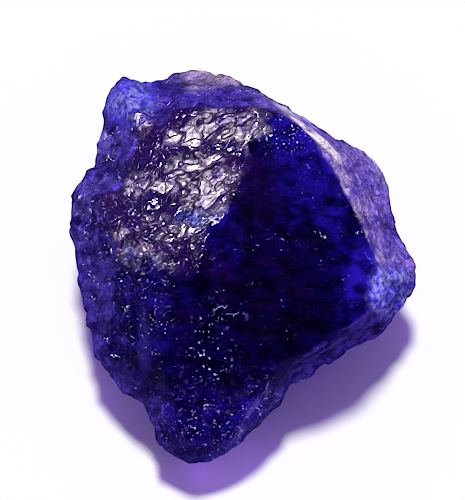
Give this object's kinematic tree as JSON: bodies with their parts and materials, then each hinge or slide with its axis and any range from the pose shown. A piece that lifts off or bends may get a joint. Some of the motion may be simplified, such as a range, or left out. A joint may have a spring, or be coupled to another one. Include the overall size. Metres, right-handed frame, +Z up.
{
  "type": "rough tanzanite",
  "caption": "Uncut piece of transparent blue-violet tanzanite with broken faces, a crinkled top and a jagged rim, lying on a small flat spot.",
  "frame": {"origin": "under the middle of the stone's bounding box, at the surface it lies on", "axes": "+Z up out of the surface the stone lies on, -Y towards the viewer and the pointed toe, +X towards the right-hand corner"},
  "size_m": [0.022, 0.025, 0.0149],
  "materials": {
    "tanzanite": "broken crystal, glassy to hackly, deep violet-blue, see-through at thin edges"
  },
  "bodies": {
    "root": {"tanzanite": "tanzanite"}
  },
  "joints": []
}
